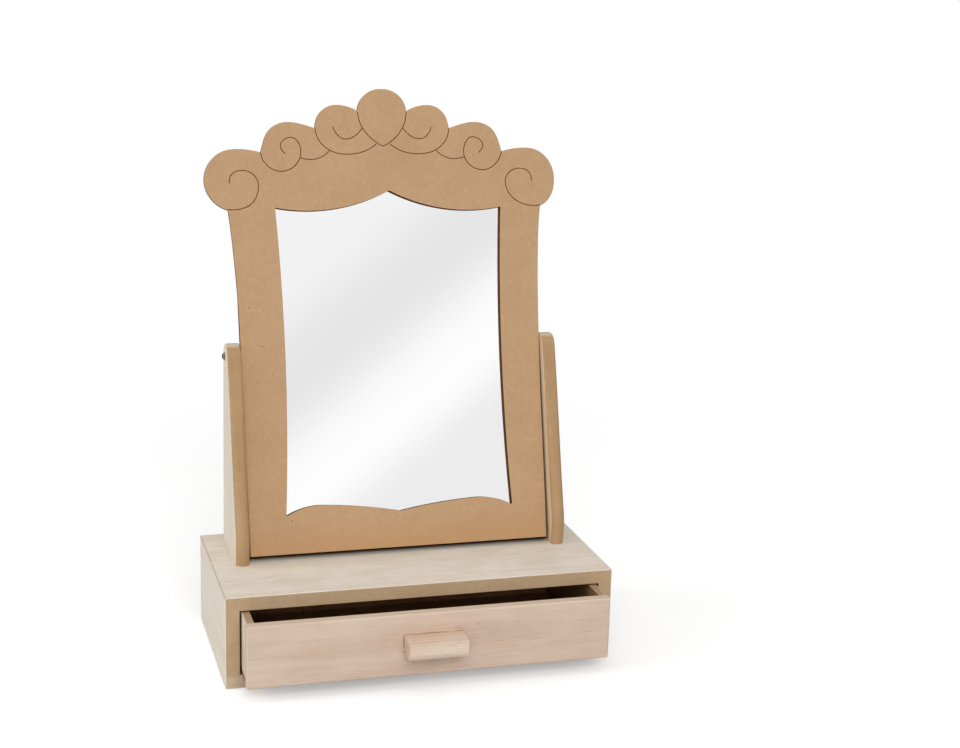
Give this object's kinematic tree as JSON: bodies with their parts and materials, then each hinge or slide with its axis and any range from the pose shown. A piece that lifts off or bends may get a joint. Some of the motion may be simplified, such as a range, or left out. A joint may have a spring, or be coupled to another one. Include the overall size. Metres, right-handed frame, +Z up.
{
  "type": "vanity mirror with drawer",
  "caption": "Table-top vanity mirror in bare wood: a scroll-crested frame tilts between two posts on a low case with a sliding drawer.",
  "frame": {"origin": "centre of the case's underside, on the surface it stands on", "axes": "+X to the right seen from the front, +Y to the back, +Z up; the drawer opens towards -Y"},
  "size_m": [0.25, 0.1829, 0.3546],
  "materials": {
    "case_wood": "pale birch veneer over fibreboard, bare and matte",
    "post_wood": "bare fibreboard with a pale skin, sanded",
    "fret_wood": "bare laser-cut fibreboard with charred cut edges",
    "core_wood": "bare fibreboard strip",
    "drawer_wood": "pale pinkish veneer, bare and matte",
    "drawer_box_wood": "bare thin wood, unfinished",
    "pull_wood": "bare softwood, sanded",
    "back_wood": "bare hardboard",
    "mirror_glass": "silvered float glass",
    "nickel_screw": "bright nickel plate",
    "zinc_screw": "bright zinc plate",
    "clip_steel": "zinc-plated spring steel",
    "washer_steel": "zinc-plated"
  },
  "bodies": {
    "base": {"case_top": "case_wood", "case_bottom": "case_wood", "case_left": "case_wood", "case_right": "case_wood", "case_back": "back_wood", "post_left": "post_wood", "post_right": "post_wood", "post_screw_left_front": "zinc_screw", "post_screw_left_back": "zinc_screw", "post_screw_right_front": "zinc_screw", "post_screw_right_back": "zinc_screw"},
    "mirror": {"fret_board": "fret_wood", "stile_left": "core_wood", "stile_right": "core_wood", "rail_bottom": "core_wood", "rail_top": "core_wood", "mirror_glass": "mirror_glass", "backing_board": "back_wood", "clip_left_low": "clip_steel", "clip_left_high": "clip_steel", "clip_right_low": "clip_steel", "clip_right_high": "clip_steel", "clip_top": "clip_steel", "clip_bottom": "clip_steel", "clip_screw_left_low": "zinc_screw", "clip_screw_left_high": "zinc_screw", "clip_screw_right_low": "zinc_screw", "clip_screw_right_high": "zinc_screw", "clip_screw_top": "zinc_screw", "clip_screw_bottom": "zinc_screw", "pivot_screw_left": "nickel_screw", "washer_left": "washer_steel", "pivot_screw_right": "nickel_screw", "washer_right": "washer_steel"},
    "drawer": {"drawer_front": "drawer_wood", "drawer_side_left": "drawer_box_wood", "drawer_side_right": "drawer_box_wood", "drawer_back": "drawer_box_wood", "drawer_bottom": "drawer_box_wood", "pull": "pull_wood", "pull_screw_left": "zinc_screw", "pull_screw_right": "zinc_screw"}
  },
  "joints": [
    {"name": "mirror_tilt", "type": "hinge", "parent": "base", "child": "mirror", "pos_m": [0, 0.0396, 0.18681], "axis": [-1, 0, 0], "range_deg": [-0.3, 74.4]},
    {"name": "drawer_slide", "type": "slide", "parent": "base", "child": "drawer", "axis": [0, -1, 0], "range_m": [-0.0243, 0.06]}
  ]
}
